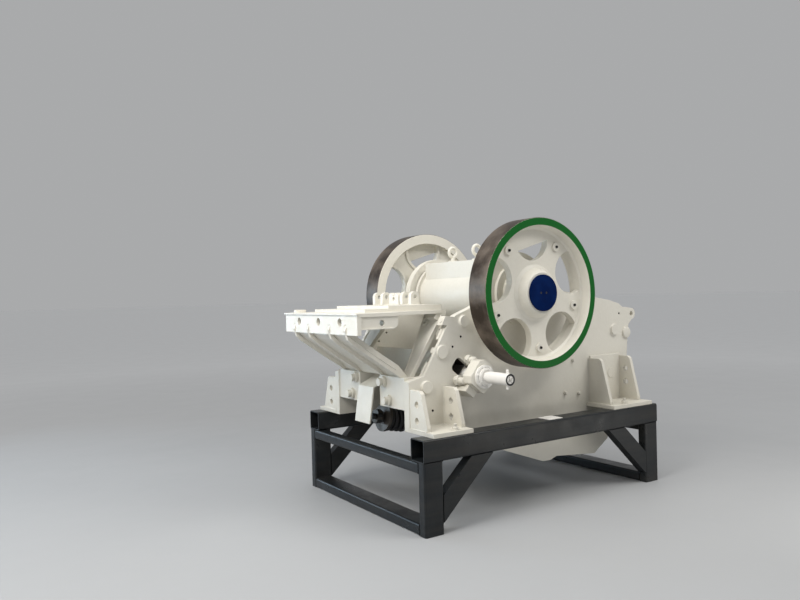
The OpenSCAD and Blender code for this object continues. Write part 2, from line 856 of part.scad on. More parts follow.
module rib_outline() {
    polygon(concat(
        [[-table_reach + 4, rib_slot_z], [-table_reach - rib_proud, 704], [-391, 642]],
        rib_edge, [[10, beam_top_z], [leg_foot - seat_gap, beam_top_z]],
        reversed(rib_inset(rib_depth)),
        [[-300, 720], [-300, table_rise], [-table_reach + 30, table_rise], [-table_reach + 30, rib_slot_z]]
    ));
}

module table_ribs() {
    color(cream) on_rails() both_sides()
        for (y = rib_y) slab(-y - rib_t / 2, -y + rib_t / 2) rib_outline();
}

// Plates between the ribs, set back from their edges
module apron_outline() {
    polygon(concat(
        [[-table_reach + 30 + seat_gap, 668]], rib_inset(apron_recess), [[34, beam_top_z], [58, beam_top_z]],
        reversed(rib_inset(apron_recess + apron_t)), [[-table_reach + 30 + seat_gap, 694]]
    ));
}

module table_apron() {
    gap = rib_t / 2 + seat_gap;
    color(cream) on_rails() {
        slab(-rib_y[0] + gap, rib_y[0] - gap) apron_outline();
        both_sides() slab(-rib_y[1] + gap, -rib_y[0] - gap) apron_outline();
    }
}

leg_out = side_in - table_gap;
leg_hole_up = 0.86;
leg_hole = [
    leg_foot + leg_hole_up * leg_run, -leg_out + leg_span - 60,
    beam_top_z + leg_hole_up * (table_rise - beam_top_z)
];

// A leaning plate, narrower at its foot
module table_leg_right() {
    color(cream) on_rails() difference() {
        intersection() {
            slab(-leg_out, -leg_out + leg_span) polygon([
                [leg_foot, beam_top_z], [leg_foot + leg_w, beam_top_z],
                [leg_foot + leg_w + leg_run, table_rise], [leg_foot + leg_run, table_rise]
            ]);
            translate([leg_foot - 1, 0, 0]) rotate([90, 0, 90]) linear_extrude(leg_run + leg_w + 2) polygon([
                [-leg_out - 1, beam_top_z - 1], [-leg_out - 1, table_rise + 1],
                [-leg_out + leg_span, table_rise + 1], [-leg_out + leg_foot_span, beam_top_z - 1]
            ]);
        }
        translate(leg_hole) rotate([0, 90, 0]) cylinder(h = 120, r = 16, center = true);
    }
}

module table_leg_left() {
    mirror([0, 1, 0]) table_leg_right();
}

// Hinge lugs near the table's front edge
lug_z = table_rise + table_t + pad_high;

module lug_outline(w, h) {
    polygon([[-w / 2, 0], [w / 2, 0], [w / 2, h - w / 2], [-w / 2, h - w / 2]]);
    translate([0, h - w / 2]) circle(r = w / 2);
}

lug_x = 250;
lug_t = 36;
lug_w = 74;
lug_h = 98;
anchor_w = 130;

module table_lugs() {
    color(cream) on_rails() translate([lug_x, 0, lug_z]) {
        both_sides() for (y = [-269, -156]) slab(y, y + lug_t) difference() {
            lug_outline(lug_w, lug_h);
            translate([0, lug_h - lug_w / 2]) circle(r = 14);
        }
        translate([15, 0, 0]) rotate([90, 0, -90]) linear_extrude(30) difference() {
            translate([-anchor_w / 2, 0]) square([anchor_w, 66]);
            translate([0, 46]) circle(r = 15);
        }
        for (y = [-anchor_w / 2 + 26, anchor_w / 2 - 26])
            translate([-15, y, 66]) rotate([0, 90, 0]) cylinder(h = 30, r = 26);
    }
}

// The rotor: eccentric shaft, flywheels and caps
module eccentric_shaft() {
    color(dark_steel) on_rails() {
        bar_y(shaft[0], shaft[1], -wheel_out + 30, wheel_out - 30, shaft_r);
        bar_y(shaft[0], shaft[1], -barrel_out - 4, barrel_out + 4, shaft_r + 12);
        bar_y(shaft[0] + throw, shaft[1], -eccentric_out, eccentric_out, eccentric_r);
    }
}

// Inner radius of a flywheel's rim at a distance from its inner face
function rim_at(z) = wheel_r - rim_back_t + (rim_back_t - rim_t) * z / wheel_width;

web_out = wheel_width - web_recess;
web_in = web_out - web_t;
wheel_fillet = 14;
hub_fillet = 26;
rim_edge = 4;
hub_recess = 10;
web_clip = rim_at(0) + 3;
bead_w = 23;
bead_h = 12;
weight_t = 16;
web_boss_r = 34;
web_boss_at = 402;

// A flywheel in section: radius against distance from its inner face
module wheel_section() {
    polygon([
        [shaft_r + run_gap, 0], [hub_r - 30, 0], [hub_r - 16, 14], [hub_r, web_in - hub_fillet],
        [hub_r + hub_fillet, web_in], [rim_at(web_in) - wheel_fillet, web_in],
        [rim_at(web_in - wheel_fillet), web_in - wheel_fillet], [rim_at(0), 0], [wheel_r - rim_edge, 0],
        [wheel_r, rim_edge], [wheel_r, wheel_width - rim_edge], [wheel_r - rim_edge, wheel_width],
        [rim_at(wheel_width), wheel_width], [rim_at(web_out + wheel_fillet), web_out + wheel_fillet],
        [rim_at(web_out) - wheel_fillet, web_out], [hub_r + hub_fillet, web_out],
        [hub_r, web_out + hub_fillet * 0.5], [hub_face_r + 4, wheel_width - hub_recess - 6],
        [hub_face_r - 4, wheel_width - hub_recess], [shaft_r + run_gap, wheel_width - hub_recess]
    ]);
}

// Places its child at the first hole and at those after it, turned by a share of the pitch
module at_holes(share) {
    for (k = [0:web_holes - 1]) rotate(web_hole_phase + (k + share) * 360 / web_holes) children();
}

module flywheel() {
    translate([shaft[0], -wheel_in, shaft[1]]) rotate([90, 0, 0]) {
        difference() {
            union() {
                rotate_extrude($fn = 96) wheel_section();
                at_holes(0) translate([0, 0, web_in - bead_h]) linear_extrude(bead_h + 1) intersection() {
                    translate([web_hole_at, 0]) circle(r = web_hole_r + bead_w);
                    circle(r = web_clip + 6);
                }
            }
            at_holes(0) translate([0, 0, web_in - wheel_fillet - 1])
                linear_extrude(web_t + 2 * wheel_fillet) intersection() {
                    translate([web_hole_at, 0]) circle(r = web_hole_r);
                    circle(r = web_clip);
                }
        }
        translate([0, 0, web_out - weight_t]) linear_extrude(weight_t) intersection() {
            circle(r = web_clip + 4);
            rotate(weight_angle) translate([weight_at, -wheel_r]) square([wheel_r, 2 * wheel_r]);
        }
        at_holes(0.5) translate([web_boss_at, 0, web_out - 1]) difference() {
            cylinder(h = 15, r = web_boss_r);
            translate([0, 0, 5]) cylinder(h = 15, r = 10);
        }
    }
}

module flywheel_right() {
    color(cream) on_rails() flywheel();
}

module flywheel_left() {
    mirror([0, 1, 0]) flywheel_right();
}

module hub_caps() {
    color(cap_blue) on_rails() both_sides() difference() {
        bar_y(shaft[0], shaft[1], -wheel_out - 4, -wheel_out + hub_recess, cap_r);
        for (s = [-1, 1]) bar_y(shaft[0] + s * 26, shaft[1], -wheel_out - 5, -wheel_out + 2, 9);
    }
}

stand_rail_right();
stand_rail_left();
stand_posts();
stand_cross_tubes();
stand_braces();
rail_shim();
side_plate_right();
side_plate_left();
front_wall();
rear_beam();
foot_rear_right();
foot_rear_left();
foot_front_right();
foot_front_left();
bearing_housing_right();
bearing_housing_left();
side_bosses();
rear_bosses();
fixed_jaw();
moving_jaw();
cheek_plate_right();
cheek_plate_left();
pitman();
lifting_eyes();
toggle_plate();
toggle_seat();
wedge_right();
wedge_left();
adjuster_bracket_right();
adjuster_bracket_left();
adjusting_cylinder_right();
adjusting_cylinder_left();
tension_rod();
tension_spring();
rod_guard();
motor_table();
table_ribs();
table_apron();
table_leg_right();
table_leg_left();
table_lugs();
eccentric_shaft();
flywheel_right();
flywheel_left();
hub_caps();
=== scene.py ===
import json
import math

import bpy
from mathutils import Matrix, Vector


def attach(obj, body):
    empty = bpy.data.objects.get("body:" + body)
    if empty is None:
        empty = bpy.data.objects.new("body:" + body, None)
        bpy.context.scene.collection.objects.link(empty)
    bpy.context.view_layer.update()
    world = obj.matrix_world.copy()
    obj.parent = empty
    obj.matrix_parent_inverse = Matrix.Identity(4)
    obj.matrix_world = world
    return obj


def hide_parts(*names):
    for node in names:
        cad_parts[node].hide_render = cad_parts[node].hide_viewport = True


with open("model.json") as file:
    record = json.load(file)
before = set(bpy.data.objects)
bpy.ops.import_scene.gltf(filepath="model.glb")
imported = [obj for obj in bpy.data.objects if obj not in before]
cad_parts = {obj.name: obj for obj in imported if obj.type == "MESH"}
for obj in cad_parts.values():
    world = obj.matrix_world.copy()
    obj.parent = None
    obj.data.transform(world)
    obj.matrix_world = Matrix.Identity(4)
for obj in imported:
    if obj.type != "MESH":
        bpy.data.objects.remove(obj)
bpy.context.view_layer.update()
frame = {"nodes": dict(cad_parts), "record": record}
nodes = frame["nodes"]

MM = 0.001
# The side plates' rear edge and the rails' tops, in the part's own frame
REAR_X = -0.973
RAILS_Z = 0.624
SHAFT = Vector((1.012 + REAR_X, 0.0, 0.925 + RAILS_Z))


def at(x, y, z):
    """A point in millimetres from the side plates' rear edge, the centre plane and the rails' tops."""
    return Vector((x * MM + REAR_X, y * MM, z * MM + RAILS_Z))


# Camera and light
camera = bpy.data.objects.new("camera", bpy.data.cameras.new("camera"))
bpy.context.scene.collection.objects.link(camera)
right = Vector((0.8362, -0.5479, -0.025))
up = Vector((0.0231, -0.0104, 0.9997))
forward = Vector((0.548, 0.8365, -0.004))
pose = Matrix((right, up, -forward)).transposed().to_4x4()
pose.translation = Vector((-3.6246, -4.4950, 1.5434))
camera.matrix_world = pose
camera.data.sensor_width = 36.0
camera.data.lens = 31.73
camera.data.clip_end = 1000.0
bpy.context.scene.camera = camera
bpy.context.scene.view_settings.view_transform = "Standard"


def area_light(name, place, target, size, watts, colour, spread=math.pi):
    """A rectangular lamp at place that points at target."""
    light = bpy.data.objects.new(name, bpy.data.lights.new(name, "AREA"))
    light.data.shape = "RECTANGLE"
    light.data.size, light.data.size_y = size
    light.data.energy = watts
    light.data.color = colour
    light.data.spread = spread
    light.location = place
    light.rotation_mode = "QUATERNION"
    light.rotation_quaternion = (Vector(target) - Vector(place)).to_track_quat("-Z", "Y")
    bpy.context.scene.collection.objects.link(light)


# Sunlight from the rear, daylight from the side, blue sky behind and the glow of a lit patch of floor
area_light("key_light", (-5.2, -1.2, 5.0), (-0.3, 0.0, 0.9), (3.0, 2.2), 295, (1.0, 0.985, 0.955))
area_light("side_light", (2.5, -4.6, 6.2), (0.2, 0.0, 1.4), (4.0, 2.0), 200, (1.0, 0.985, 0.95))
area_light("rear_sky", (-4.6, 5.2, 1.7), (-1.3, 0.0, 0.9), (4.0, 2.2), 24, (0.60, 0.80, 1.0), 1.2)
area_light("floor_glow", (1.6, -2.6, 0.25), (0.7, -0.4, 0.6), (1.8, 0.4), 5, (1.0, 0.97, 0.9))
roof = bpy.data.objects.new("roof_light", bpy.data.lights.new("roof_light", "SUN"))
roof.data.energy = 1.25
roof.data.angle = 1.1
roof.rotation_mode = "QUATERNION"
roof.rotation_quaternion = Vector((0.12, 0.08, -1.0)).to_track_quat("-Z", "Y")
bpy.context.scene.collection.objects.link(roof)

# The camera and mirror reflections see the backdrop's tone, all else a weaker light
LIGHTING_TONE = (0.27, 0.275, 0.28, 1)
BACKDROP_TONE = (0.398, 0.403, 0.408, 1)
world = bpy.data.worlds.new("studio")
bpy.context.scene.world = world
world.use_nodes = True
background = world.node_tree.nodes["Background"]
seen = world.node_tree.nodes.new("ShaderNodeLightPath")
tone = world.node_tree.nodes.new("ShaderNodeMix")
tone.data_type = "RGBA"
tone.inputs[6].default_value = LIGHTING_TONE
tone.inputs[7].default_value = BACKDROP_TONE
shown = world.node_tree.nodes.new("ShaderNodeMath")
shown.operation = "MAXIMUM"
world.node_tree.links.new(seen.outputs["Is Camera Ray"], shown.inputs[0])
world.node_tree.links.new(seen.outputs["Is Glossy Ray"], shown.inputs[1])
world.node_tree.links.new(shown.outputs[0], tone.inputs[0])
world.node_tree.links.new(tone.outputs[2], background.inputs["Color"])
background.inputs["Strength"].default_value = 1.0


# Materials
class Mat:
    """A node-based material whose coordinates are those of the piece itself."""

    def __init__(self, name, colour, roughness, metallic=0.0, specular=0.5):
        self.mat = bpy.data.materials.new(name)
        self.mat.use_nodes = True
        self.tree = self.mat.node_tree
        self.bsdf = self.tree.nodes["Principled BSDF"]
        self.bsdf.inputs["Roughness"].default_value = roughness
        self.bsdf.inputs["Metallic"].default_value = metallic
        self.bsdf.inputs["Specular IOR Level"].default_value = specular
        coordinates = self.tree.nodes.new("ShaderNodeTexCoord")
        self.place = coordinates.outputs["Object"]
        base = self.tree.nodes.new("ShaderNodeRGB")
        base.outputs[0].default_value = (*colour, 1)
        self.colour = base.outputs[0]
        self.height = None

    def node(self, kind, **values):
        """A new node; capitalised names set its sockets and the others its properties."""
        n = self.tree.nodes.new(kind)
        for key, value in values.items():
            if key[0].isupper():
                n.inputs[key.replace("_", " ")].default_value = value
            else:
                setattr(n, key, value)
        return n

    def link(self, a, b):
        self.tree.links.new(a, b)

    def noise(self, scale, detail=4.0, rough=0.55, stretch=None):
        n = self.node("ShaderNodeTexNoise", Scale=scale, Detail=detail, Roughness=rough)
        place = self.place
        if stretch:
            m = self.node("ShaderNodeMapping")
            m.inputs["Scale"].default_value = stretch
            self.link(place, m.inputs["Vector"])
            place = m.outputs[0]
        self.link(place, n.inputs["Vector"])
        return n.outputs["Fac"]

    def ramp(self, value, low, high, to_low=0.0, to_high=1.0):
        """Maps low..high to to_low..to_high and holds the ends."""
        n = self.node("ShaderNodeMapRange")
        for i, v in enumerate((low, high, to_low, to_high)):
            n.inputs[i + 1].default_value = v
        self.link(value, n.inputs[0])
        return n.outputs[0]

    def math(self, kind, a, b=None):
        n = self.node("ShaderNodeMath", operation=kind)
        for i, v in enumerate((a, b)):
            if v is None:
                continue
            if isinstance(v, (int, float)):
                n.inputs[i].default_value = v
            else:
                self.link(v, n.inputs[i])
        return n.outputs[0]

    def mix(self, mask, colour):
        """Lays a colour over the one so far, where the mask is 1."""
        n = self.node("ShaderNodeMix", data_type="RGBA")
        self.link(mask, n.inputs[0])
        self.link(self.colour, n.inputs[6])
        if isinstance(colour, tuple):
            n.inputs[7].default_value = (*colour, 1)
        else:
            self.link(colour, n.inputs[7])
        self.colour = n.outputs[2]

    def vary(self, scale, amount, tint, detail=5.0, stretch=None):
        """Lets the colour drift towards a tint in patches."""
        self.mix(self.ramp(self.noise(scale, detail, stretch=stretch), 0.42, 0.68, 0.0, amount), tint)

    def bump(self, scale, depth, detail=4.0):
        h = self.noise(scale, detail, 0.6)
        n = self.node("ShaderNodeBump", Strength=1.0, Distance=depth)
        self.link(h, n.inputs["Height"])
        if self.height is not None:
            self.link(self.height, n.inputs["Normal"])
        self.height = n.outputs[0]

    def rounded(self, radius):
        """Softens the edges of the shading; it comes before any bump."""
        n = self.node("ShaderNodeBevel", samples=6)
        n.inputs["Radius"].default_value = radius
        self.height = n.outputs[0]

    def rough(self, scale, low, high):
        self.link(self.ramp(self.noise(scale, 5.0), 0.3, 0.7, low, high), self.bsdf.inputs["Roughness"])

    def axes(self):
        n = self.node("ShaderNodeSeparateXYZ")
        self.link(self.place, n.inputs[0])
        return n.outputs

    def done(self):
        self.link(self.colour, self.bsdf.inputs["Base Color"])
        if self.height is not None:
            self.link(self.height, self.bsdf.inputs["Normal"])
        return self.mat


def paint(name="cream_paint", painted_shade=0.6):
    """Cream paint with painted shade in patches on the lower part of the frame, darkest at the rails'
    height.
    """
    m = Mat(name, (0.745, 0.715, 0.635), 0.42, specular=0.45)
    m.rounded(0.004)
    m.vary(1.3, 0.25, (0.69, 0.665, 0.585))
    m.vary(7.0, 0.22, (0.80, 0.775, 0.70), 7.0)
    m.vary(34.0, 0.12, (0.62, 0.585, 0.50), 6.0)
    # Painted shade: a darker band in patches, strongest at the rails' height, fading upwards and weaker
    # below it
    height = m.axes()[2]
    low = m.math("MULTIPLY", m.ramp(height, 0.62, 1.10, painted_shade, 0.0), m.ramp(height, 0.50, 0.62, 0.25, 1.0))
    m.mix(m.math("MULTIPLY", low, m.ramp(m.noise(4.0, 6.0), 0.30, 0.7, 0.45, 1.0)), (0.40, 0.375, 0.31))
    m.rough(9.0, 0.34, 0.52)
    m.bump(55.0, 0.0009, 3.0)
    m.bump(420.0, 0.00025, 2.0)
    return m


CREAM = paint().done()


def stand_paint():
    m = Mat("stand_paint", (0.010, 0.0125, 0.0145), 0.36, specular=0.30)
    m.rounded(0.003)
    m.vary(2.2, 0.5, (0.018, 0.018, 0.018))
    m.vary(18.0, 0.45, (0.006, 0.006, 0.007), 7.0)
    m.vary(3.0, 0.35, (0.040, 0.036, 0.030), 6.0, (0.4, 0.4, 6.0))
    m.rough(6.0, 0.24, 0.46)
    m.bump(70.0, 0.0006, 3.0)
    return m.done()


STAND = stand_paint()


# The flywheels' bare running face, and the green ring on the rims' outer sides
RUNNING_R = 0.5440
RING_R = 0.492
RIM_SIDE_Y = 0.7982


def wheel_paint():
    m = paint("wheel_paint", 0.0)
    m.bsdf.inputs["Specular IOR Level"].default_value = 0.25
    x, y, z = m.axes()
    dx = m.math("SUBTRACT", x, SHAFT.x)
    dz = m.math("SUBTRACT", z, SHAFT.z)
    radius = m.math("SQRT", m.math("ADD", m.math("MULTIPLY", dx, dx), m.math("MULTIPLY", dz, dz)))
    side = m.math("ABSOLUTE", y)
    outer = m.math("GREATER_THAN", radius, RUNNING_R)
    face = m.math("GREATER_THAN", side, RIM_SIDE_Y)
    ring = m.math("MULTIPLY", face, m.math("GREATER_THAN", radius, RING_R))
    blotch = m.ramp(m.noise(4.5, 6.0, 0.58), 0.42, 0.70)
    tone = m.node("ShaderNodeMix", data_type="RGBA")
    m.link(blotch, tone.inputs[0])
    tone.inputs[6].default_value = (0.046, 0.034, 0.026, 1)
    tone.inputs[7].default_value = (0.195, 0.158, 0.127, 1)
    m.mix(m.math("MULTIPLY", outer, m.math("SUBTRACT", 1.0, face)), tone.outputs[2])
    m.mix(ring, (0.0, 0.105, 0.010))
    metal = m.math("MULTIPLY", outer, 0.40)
    m.link(metal, m.bsdf.inputs["Metallic"])
    return m.done()


WHEEL = wheel_paint()


def cap_paint():
    m = Mat("cap_paint", (0.0, 0.009, 0.062), 0.6, specular=0.04)
    m.rounded(0.004)
    m.vary(9.0, 0.5, (0.004, 0.022, 0.11), 7.0)
    m.vary(22.0, 0.5, (0.002, 0.008, 0.050), 7.0)
    m.bump(60.0, 0.0008, 4.0)
    return m.done()


CAP = cap_paint()


def white_paint():
    m = Mat("white_paint", (0.82, 0.80, 0.76), 0.35, specular=0.5)
    m.rounded(0.003)
    m.vary(6.0, 0.2, (0.74, 0.71, 0.65))
    m.vary(30.0, 0.12, (0.66, 0.63, 0.56))
    m.rough(12.0, 0.28, 0.45)
    m.bump(80.0, 0.0004, 3.0)
    return m.done()


WHITE = white_paint()


def steel(name, colour, rough, dark):
    m = Mat(name, colour, rough, metallic=0.85)
    m.rounded(0.002)
    m.vary(7.0, 0.6, dark, 7.0)
    m.vary(28.0, 0.35, (colour[0] * 1.25, colour[1] * 1.15, colour[2]), 6.0)
    m.rough(14.0, rough - 0.10, rough + 0.15)
    m.bump(90.0, 0.0006, 4.0)
    return m.done()


JAW = steel("jaw_steel", (0.13, 0.12, 0.11), 0.55, (0.07, 0.055, 0.045))
DARK = steel("dark_steel", (0.10, 0.09, 0.08), 0.5, (0.05, 0.042, 0.035))
BRIGHT = steel("bright_steel", (0.52, 0.51, 0.49), 0.35, (0.30, 0.28, 0.25))


def rubber():
    m = Mat("black_rubber", (0.012, 0.012, 0.013), 0.55, specular=0.5)
    m.rounded(0.002)
    m.vary(14.0, 0.5, (0.03, 0.028, 0.026))
    m.bump(60.0, 0.001, 4.0)
    return m.done()


BLACK = rubber()

BY_SLOT = {
    "frame_paint": CREAM, "stand": STAND, "white_paint": WHITE, "jaw_steel": JAW,
    "bright_steel": BRIGHT, "dark_steel": DARK, "black_spring": BLACK, "wheel": WHEEL,
    "cap_paint": CAP,
}
for part in frame["record"]["subparts"]:
    obj = nodes[part["node"]]
    obj.data.materials.clear()
    obj.data.materials.append(BY_SLOT[part["material_slot"]])


# Shapes are pairs of vertices and faces, in metres
def lathe(profile, steps):
    """Turns a line of (radius, height) points round the z axis."""
    verts, faces, rings = [], [], []
    for r, h in profile:
        if r < 1e-6:
            rings.append([len(verts)])
            verts.append(Vector((0.0, 0.0, h)))
            continue
        rings.append(list(range(len(verts), len(verts) + steps)))
        for i in range(steps):
            a = 2 * math.pi * i / steps
            verts.append(Vector((r * math.cos(a), r * math.sin(a), h)))
    for a, b in zip(rings, rings[1:]):
        for i in range(steps):
            k = (i + 1) % steps
            if len(a) == 1:
                faces.append((a[0], b[k], b[i]))
            elif len(b) == 1:
                faces.append((a[i], a[k], b[0]))
            else:
                faces.append((a[i], a[k], b[k], b[i]))
    return verts, faces


def prism(outline, low, high, chamfer):
    """Stands an outline of (x, y) points up from low to high, its upper edge chamfered."""
    n = len(outline)
    cx = sum(p[0] for p in outline) / n
    cy = sum(p[1] for p in outline) / n
    size = max(math.hypot(p[0] - cx, p[1] - cy) for p in outline)
    levels = ((low, 0.0), (high - chamfer, 0.0), (high, chamfer))
    verts = []
    for h, inset in levels:
        k = 1.0 - inset / size
        verts += [Vector((cx + (x - cx) * k, cy + (y - cy) * k, h)) for x, y in outline]
    faces = [tuple(range(n - 1, -1, -1)), tuple(range(len(verts) - n, len(verts)))]
    for level in range(len(levels) - 1):
        for i in range(n):
            k = (i + 1) % n
            below, above = level * n, (level + 1) * n
            faces.append((below + i, below + k, above + k, above + i))
    return verts, faces


def tube(path, radii, sides):
    """Sweeps a circle along a line of points; radii is one radius or one for each point."""
    if not isinstance(radii, list):
        radii = [radii] * len(path)
    verts, faces = [], []
    n = len(path)
    tangent = (path[1] - path[0]).normalized()
    side = tangent.orthogonal().normalized()
    for i, p in enumerate(path):
        tangent = (path[min(i + 1, n - 1)] - path[max(i - 1, 0)]).normalized()
        side = (side - tangent * side.dot(tangent)).normalized()
        other = tangent.cross(side)
        for k in range(sides):
            a = 2 * math.pi * k / sides
            verts.append(p + (side * math.cos(a) + other * math.sin(a)) * radii[i])
    for i in range(n - 1):
        here, there = i * sides, (i + 1) * sides
        for k in range(sides):
            m = (k + 1) % sides
            faces.append((here + k, here + m, there + m, there + k))
    faces.append(tuple(range(sides - 1, -1, -1)))
    faces.append(tuple(range((n - 1) * sides, n * sides)))
    return verts, faces


def put(shape, place, axis, turn=0.0):
    """Moves a shape so that its z axis points along axis and its origin lies at place."""
    spin = Vector((0, 0, 1)).rotation_difference(Vector(axis).normalized()).to_matrix()
    spin = spin @ Matrix.Rotation(turn, 3, "Z")
    return [Vector(place) + spin @ v for v in shape[0]], shape[1]


def mirrored(shapes):
    """The shapes and their mirror images across the centre plane."""
    out = list(shapes)
    for verts, faces in shapes:
        out.append(([Vector((v.x, -v.y, v.z)) for v in verts], [tuple(reversed(f)) for f in faces]))
    return out


SHARP_ANGLE = math.radians(35)


def piece(name, shapes, material, body="root", replaced=None):
    """Joins the shapes into one object that rides on a body."""
    verts, faces = [], []
    for v, f in shapes:
        faces += [tuple(i + len(verts) for i in face) for face in f]
        verts += v
    mesh = bpy.data.meshes.new(name)
    mesh.from_pydata([tuple(v) for v in verts], [], faces)
    mesh.materials.append(material)
    mesh.shade_smooth()
    mesh.set_sharp_from_angle(angle=SHARP_ANGLE)
    obj = bpy.data.objects.new(name, mesh)
    bpy.context.scene.collection.objects.link(obj)
    if replaced:
        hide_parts(replaced)
    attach(obj, body)


def hexagon(radius):
    angles = [math.pi / 3 * i for i in range(6)]
    return [(radius * math.cos(a), radius * math.sin(a)) for a in angles]


# A bolt's sizes as shares of its shank's radius
WASHER_H = 0.22
HEX_R = 1.85
HEX_CHAMFER = 0.16


def washer(radius):
    base = WASHER_H * radius
    return lathe([(2.15 * radius, 0), (2.15 * radius, base * 0.7), (2.08 * radius, base), (0, base)], 28)


def bolt(radius, washered=True):
    """A hexagon head, on a washer or without one; radius is that of the shank."""
    base = WASHER_H * radius if washered else 0.0
    top = base + 1.36 * radius
    dome = [(1.45 * radius, base + 1.29 * radius), (1.40 * radius, top), (0, top)]
    shapes = [prism(hexagon(HEX_R * radius), base, base + 1.3 * radius, HEX_CHAMFER * radius),
              lathe(dome, 24)]
    return shapes + [washer(radius)] if washered else shapes


def nut(radius, proud):
    """A nut on a threaded end that stands proud of it."""
    base, top = WASHER_H * radius, 1.9 * radius
    thread = [(radius, top)]
    turns = max(2, int(proud / (0.28 * radius)))
    for i in range(turns):
        h = top + proud * i / turns
        step = proud / turns
        thread += [(radius, h + step * 0.2), (radius * 0.90, h + step * 0.6), (radius, h + step)]
    thread += [(radius * 0.86, top + proud + 0.12 * radius), (0, top + proud + 0.12 * radius)]
    hexagonal = prism(hexagon(HEX_R * radius), base, top, HEX_CHAMFER * radius)
    return [hexagonal, lathe(thread, 20), washer(radius)]


def put_all(shapes, place, axis, turn=0.0):
    return [put(shape, place, axis, turn) for shape in shapes]


def bead(points, radius, seed):
    """A weld bead along a line of points, with its ripples; seed shifts them."""
    path, radii = [], []
    for a, b in zip(points, points[1:]):
        count = max(2, int((b - a).length / 0.009))
        for i in range(count + (1 if b is points[-1] else 0)):
            path.append(a.lerp(b, i / count))
    for i in range(len(path)):
        ripple = 1.0 + 0.10 * math.sin(i * 2.4 + seed) + 0.08 * math.sin(i * 0.61 + 2 * seed)
        radii.append(radius * ripple)
    return tube(path, radii, 8)


def beads(lines, radius, shift):
    """A bead along each line of millimetre points, no two with the same ripples."""
    return [bead([at(*point) for point in line], radius, k * shift) for k, line in enumerate(lines)]


# From here on, places are in millimetres as at() takes them, and profiles in metres
SIDE_OUT, SIDE_IN = 527.5, 467.5
FOOT_T = 28
OUTWARD = (0, -1, 0)
UP = (0, 0, 1)

# Hold-down studs through the feet's plates
shapes = []
for x, y in ((200, -771), (1904, -766)):
    shapes += put_all(nut(0.012, 0.020), at(x, y, FOOT_T), UP, 0.3)
piece("foot_studs", mirrored(shapes), CREAM)

# A doubling plate on the side plate between each front foot's gussets
DOUBLER_X = (1776, 2142)
DOUBLER_TOP = 404
verts = []
for proud, inset in ((-1, 0), (10, 0), (13, 3)):
    x0, x1, top = DOUBLER_X[0] + inset, DOUBLER_X[1] - inset, DOUBLER_TOP - inset
    verts += [at(x, -SIDE_OUT - proud, z) for x, z in ((x0, FOOT_T), (x1, FOOT_T), (x1, top), (x0, top))]
faces = [(3, 2, 1, 0), (8, 9, 10, 11)]
for level in (0, 4):
    for i in range(4):
        k = (i + 1) % 4
        faces.append((level + i, level + k, level + 4 + k, level + 4 + i))
piece("foot_doublers", mirrored([(verts, faces)]), CREAM)

# Small hexagon bolts on the side plates' low bosses
LOW_BOSS_H = 14
shapes = []
for x, z in ((1580, 380), (1487, 128), (1638, 113)):
    shapes += put_all(bolt(0.0065), at(x, -SIDE_OUT - LOW_BOSS_H, z), OUTWARD, 0.2 + x)
piece("side_bolts", mirrored(shapes), CREAM)

# Dark threads in the flywheels' bosses and in the hub caps
WEB_BOSS_AT, WEB_BOSS_Y = 0.402, -0.7272
WEB_BOSS_PHASE = 58
CAP_HOLE_AT, CAP_HOLE_Y = 0.026, -0.7995
sleeve = lathe([(0.0098, 0.0), (0.0098, 0.010), (0.0085, 0.0105), (0.0085, 0.002), (0.0, 0.002)], 24)
plug = lathe([(0.0089, 0.0), (0.0089, 0.0028), (0.0, 0.0028)], 24)
shapes = []
for k in range(5):
    a = math.radians(WEB_BOSS_PHASE + 72 * k)
    place = SHAFT + Vector((WEB_BOSS_AT * math.cos(a), WEB_BOSS_Y, WEB_BOSS_AT * math.sin(a)))
    shapes.append(put(sleeve, place, OUTWARD))
for side in (-1, 1):
    shapes.append(put(plug, SHAFT + Vector((side * CAP_HOLE_AT, CAP_HOLE_Y, 0.0)), OUTWARD))
piece("wheel_threads", mirrored(shapes), BLACK, "rotor")

# Rounded fillets at the foot of the side plates' bosses, as (x, z, radius)
BOSSES = ((288, 529, 46), (483, 738, 40), (142, 295, 42), (2081, 605, 44), (2020, 250, 42))
FILLET = ((9, 0.0), (4.5, 0.8), (1.5, 3.2), (-0.5, 8))
shapes = []
for x, z, r in BOSSES:
    ring = [((r + proud) * MM, h * MM) for proud, h in FILLET]
    shapes.append(put(lathe(ring, 56), at(x, -SIDE_OUT, z), OUTWARD))
piece("boss_fillets", mirrored(shapes), CREAM)

# The bosses at the side plates' front edges
disc = [(0.0, -0.001), (0.046, -0.001), (0.046, 0.012), (0.0445, 0.0148), (0.042, 0.016), (0.0, 0.016)]
shapes = [put(lathe(disc, 56), at(2231, -SIDE_OUT, 575), OUTWARD)]
piece("edge_bosses", mirrored(shapes), CREAM)

# Black cups in the side plates' small holes, painted shade that makes them read as deep holes
HOLE_SHADE_DEPTH = 22
cup = [(0.0, 0.0), (0.0087, 0.0), (0.0087, 0.0205), (0.0080, 0.0210), (0.0076, 0.002), (0.0, 0.002)]
shapes = []
for x, z in ((382, 560), (457, 628), (196, 128), (2153, 737), (2042, 133)):
    shapes.append(put(lathe(cup, 28), at(x, -SIDE_OUT + HOLE_SHADE_DEPTH, z), OUTWARD))
piece("hole_shade_cups", mirrored(shapes), BLACK)

# The adjusters, about the line on which their wedges are pushed
WEDGE_X, WEDGE_Z = 514, 352
TILT = math.radians(38.4)


def on_wedge(u, n, y):
    """A point u along the push and n across it, at a height y outwards."""
    return at(WEDGE_X + u * math.cos(TILT) + n * math.sin(TILT), -y,
              WEDGE_Z - u * math.sin(TILT) + n * math.cos(TILT))


